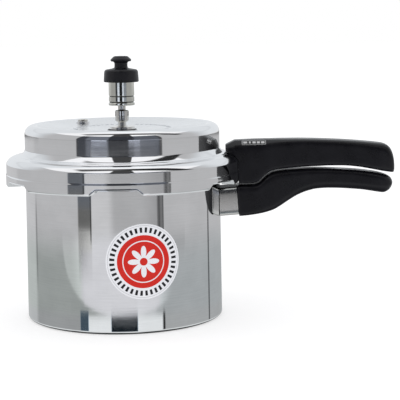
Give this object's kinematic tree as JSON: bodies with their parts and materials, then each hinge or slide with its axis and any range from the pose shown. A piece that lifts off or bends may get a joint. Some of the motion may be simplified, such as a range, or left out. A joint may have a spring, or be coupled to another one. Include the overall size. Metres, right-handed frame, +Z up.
{
  "type": "stovetop pressure cooker",
  "caption": "Polished aluminium stovetop pressure cooker with bayonet outer lid, regulator weight, safety plug and two black handles on one side.",
  "frame": {"origin": "centre of the pan's flat base", "axes": "+Z up the pan's axis, +X along the two handles, away from the pan"},
  "size_m": [0.3561, 0.2136, 0.2388],
  "materials": {
    "pan_aluminium": "polished, fine turned lines",
    "lid_aluminium": "polished",
    "rivet_aluminium": "plain, slightly dull",
    "bracket_steel": "pressed sheet",
    "ferrule_steel": "brushed stainless sheet",
    "screw_steel": "zinc plated",
    "needle_steel": "turned stainless",
    "clip_steel": "spring wire",
    "nut_brass": "machined",
    "plug_brass": "machined",
    "vent_nickel": "nickel plated",
    "weight_nickel": "nickel plated, turned",
    "fusible_alloy": "dull cast alloy",
    "badge_aluminium": "bright satin plate",
    "black_bakelite": "moulded, semi gloss",
    "cap_bakelite": "moulded, satin",
    "gasket_rubber": "moulded rubber",
    "seal_rubber": "moulded rubber",
    "label_film": null
  },
  "bodies": {
    "pan": {"pan": "pan_aluminium", "pan_bracket": "bracket_steel", "pan_bracket_rivets": "rivet_aluminium", "handle_ferrule": "ferrule_steel", "pan_handle": "black_bakelite", "pan_handle_bolt": "screw_steel", "pan_handle_nut": "nut_brass", "pan_label": "label_film"},
    "gasket": {"gasket": "gasket_rubber"},
    "lid": {"lid": "lid_aluminium", "vent_tube": "vent_nickel", "vent_base_nut": "vent_nickel", "vent_upper_seal": "seal_rubber", "vent_lower_seal": "seal_rubber", "vent_lock_nut": "nut_brass", "safety_plug_body": "plug_brass", "safety_plug_core": "fusible_alloy", "safety_plug_seal": "seal_rubber", "safety_plug_nut": "nut_brass", "lid_bracket": "bracket_steel", "lid_bracket_rivets": "rivet_aluminium", "lid_handle": "black_bakelite", "lid_handle_screw": "screw_steel", "lid_handle_nut": "nut_brass", "lid_handle_badge": "badge_aluminium"},
    "weight_valve": {"weight_needle": "needle_steel"},
    "weight": {"weight_body": "weight_nickel", "weight_cap": "cap_bakelite", "weight_clip_ring": "clip_steel"}
  },
  "joints": [
    {"name": "lid_lift", "type": "slide", "parent": "pan", "child": "gasket", "axis": [0, 0, 1], "range_m": [0, 0.072]},
    {"name": "lid_turn", "type": "hinge", "parent": "gasket", "child": "lid", "pos_m": [0, 0, 0.141], "axis": [0, 0, 1], "range_deg": [0, 30]},
    {"name": "weight_lift", "type": "slide", "parent": "lid", "child": "weight_valve", "axis": [0, 0, 1], "range_m": [0, 0.04]},
    {"name": "weight_spin", "type": "hinge", "parent": "weight_valve", "child": "weight", "pos_m": [0, 0, 0.21], "axis": [0, 0, 1], "continuous": true}
  ]
}
